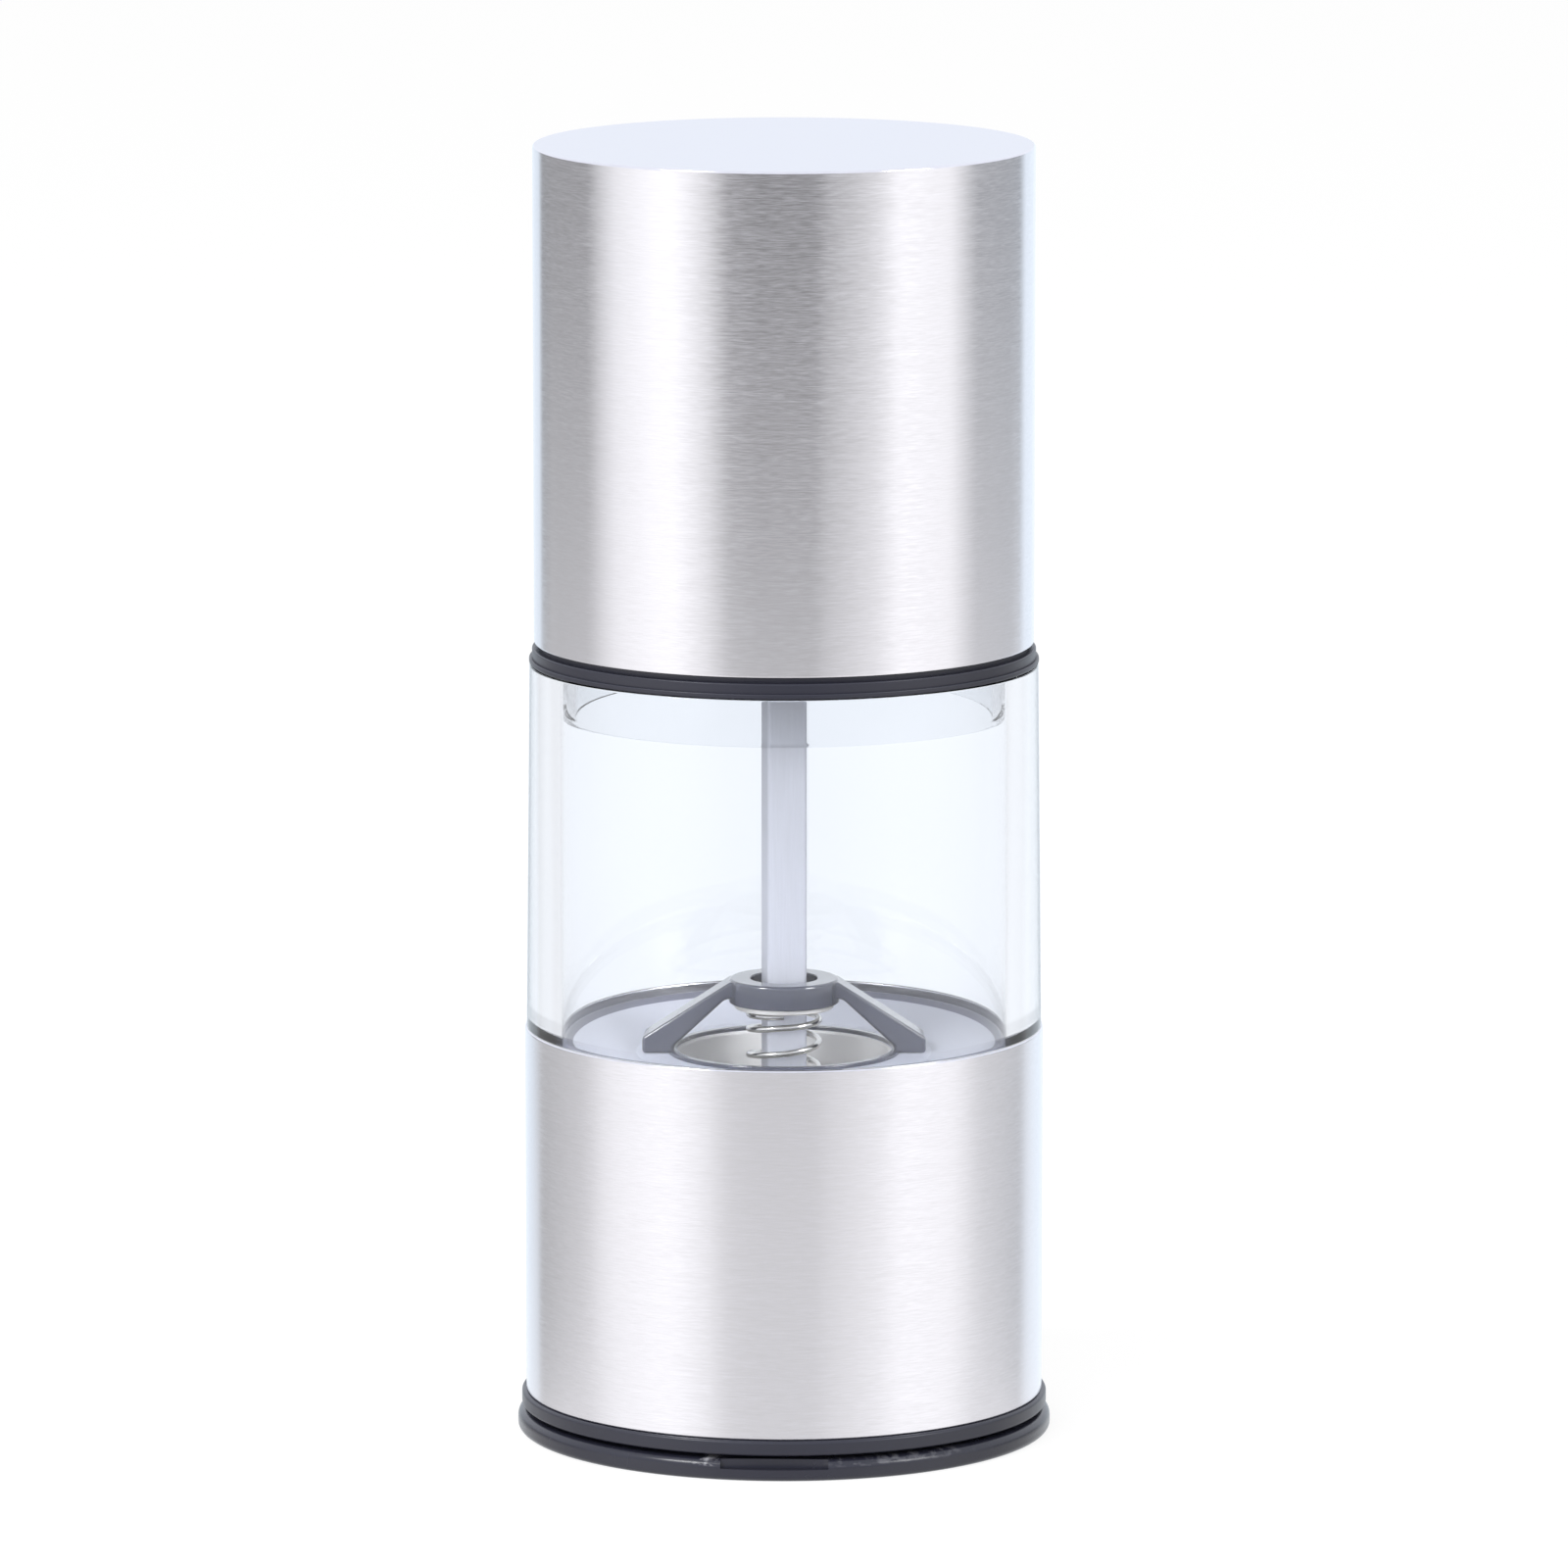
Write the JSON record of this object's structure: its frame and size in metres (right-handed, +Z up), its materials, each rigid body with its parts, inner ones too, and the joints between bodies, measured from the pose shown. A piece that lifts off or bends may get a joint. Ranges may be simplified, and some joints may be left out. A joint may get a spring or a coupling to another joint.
{
  "type": "pepper mill",
  "caption": "Hand pepper mill with a steel twist cap, a clear jar over a ceramic burr in a steel sleeve, and a push-on dust cap.",
  "frame": {"origin": "centre of the dust cap's foot ring, on the surface the mill stands on", "axes": "+Z up along the mill's axis, -Y towards the viewer of the picture"},
  "size_m": [0.0538, 0.0538, 0.13],
  "materials": {
    "brushed_steel": "fine brushing around the axis",
    "black_plastic": "semi-gloss moulded",
    "natural_plastic": "milky natural moulding",
    "clear_acrylic": "clear, polished",
    "silicone": "soft matte",
    "pale_plastic": "smooth moulded",
    "grey_plastic": "glossy moulded",
    "shaft_metal": "satin drawn bar",
    "spring_steel": "bright wire and sheet",
    "burr_ceramic": "unglazed fired ceramic",
    "nut_brass": "plain turned"
  },
  "bodies": {
    "mill_body": {"jar": "clear_acrylic", "jar_seal": "silicone", "lower_sleeve": "brushed_steel", "hopper_floor": "pale_plastic", "bridge": "grey_plastic", "stator_burr": "burr_ceramic", "base_housing": "black_plastic", "base_screws": "spring_steel"},
    "drive": {"drive_shaft": "shaft_metal", "shaft_clip": "spring_steel", "thrust_washer": "spring_steel", "burr_spring": "spring_steel"},
    "handle": {"cap_shell": "brushed_steel", "cap_ring": "black_plastic", "cap_liner": "natural_plastic", "shaft_grip": "spring_steel"},
    "rotor": {"rotor_burr": "burr_ceramic", "rotor_core": "pale_plastic", "spring_seat": "spring_steel"},
    "adjuster": {"adjuster_knob": "black_plastic", "adjuster_nut": "nut_brass"},
    "dust_lid": {"dust_cap": "black_plastic"}
  },
  "joints": [
    {"name": "grind_turn", "type": "hinge", "parent": "mill_body", "child": "drive", "pos_m": [0, 0, 0.0444], "axis": [0, 0, 1], "continuous": true},
    {"name": "cap_lift", "type": "slide", "parent": "drive", "child": "handle", "axis": [0, 0, 1], "range_m": [0, 0.04]},
    {"name": "burr_lift", "type": "slide", "parent": "drive", "child": "rotor", "axis": [0, 0, 1], "range_m": [0, 0.0007], "deforming": ["burr_spring"]},
    {"name": "adjuster_turn", "type": "hinge", "parent": "rotor", "child": "adjuster", "pos_m": [0, 0, 0.0109], "axis": [0, 0, 1], "range_deg": [0, 360]},
    {"name": "dust_cap_pull", "type": "slide", "parent": "mill_body", "child": "dust_lid", "axis": [0, 0, -1], "range_m": [0, 0.02]}
  ],
  "couplings": [
    {"joint": "adjuster_turn", "follows": "burr_lift", "rad_per_m": 8975.9}
  ]
}
